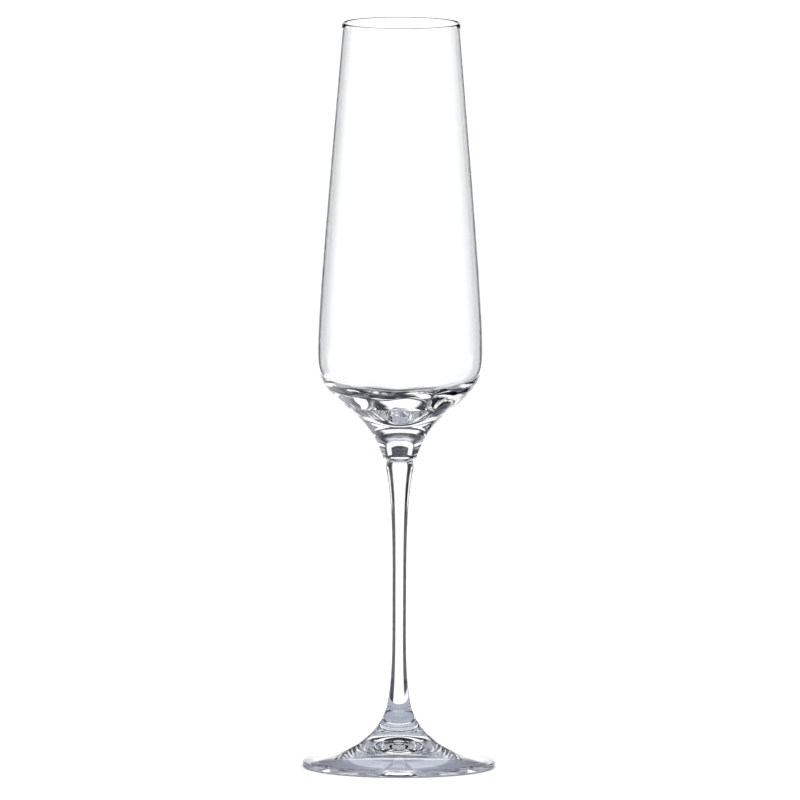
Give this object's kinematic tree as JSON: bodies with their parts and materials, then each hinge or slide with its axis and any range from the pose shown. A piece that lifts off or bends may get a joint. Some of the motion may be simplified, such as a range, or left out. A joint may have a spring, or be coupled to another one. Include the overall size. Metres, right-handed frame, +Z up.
{
  "type": "champagne flute",
  "caption": "Tall clear crystal flute for sparkling wine: a tapered bowl, widest near its base, on a slim solid stem and a round trumpet foot.",
  "frame": {"origin": "centre of the circle the foot rests on, at the height of the resting surface", "axes": "+Z up along the stem towards the rim; +X and +Y are any two square directions across the foot, as the glass is round"},
  "size_m": [0.068, 0.068, 0.265],
  "materials": {
    "clear_crystal": "fire-polished, colourless"
  },
  "bodies": {
    "root": {"bowl": "clear_crystal", "stem": "clear_crystal", "foot": "clear_crystal"}
  },
  "joints": []
}
